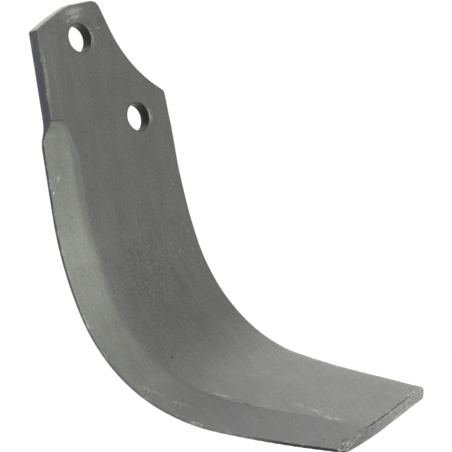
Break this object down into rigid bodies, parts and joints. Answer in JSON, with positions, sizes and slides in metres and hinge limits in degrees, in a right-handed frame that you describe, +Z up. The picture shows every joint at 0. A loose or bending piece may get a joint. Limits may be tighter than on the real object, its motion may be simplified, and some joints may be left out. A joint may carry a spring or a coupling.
{
  "type": "rotary tiller blade",
  "caption": "Forged steel rotary tiller blade: flat shank with two bolt holes, notched neck, bevelled leading edge and a curved foot bent sideways.",
  "frame": {"origin": "middle of the two-hole bolt pattern, on the shank's mounting face", "axes": "+Y out of the mounting face, away from the side the foot bends to; +Z up the shank along its straight leading edge; +X from the leading edge to the trailing edge"},
  "size_m": [0.0946, 0.1739, 0.2755],
  "materials": {
    "forged_steel": "dull oil-hardened forging skin with fine lengthwise grain"
  },
  "bodies": {
    "root": {"tiller_blade": "forged_steel"}
  },
  "joints": []
}
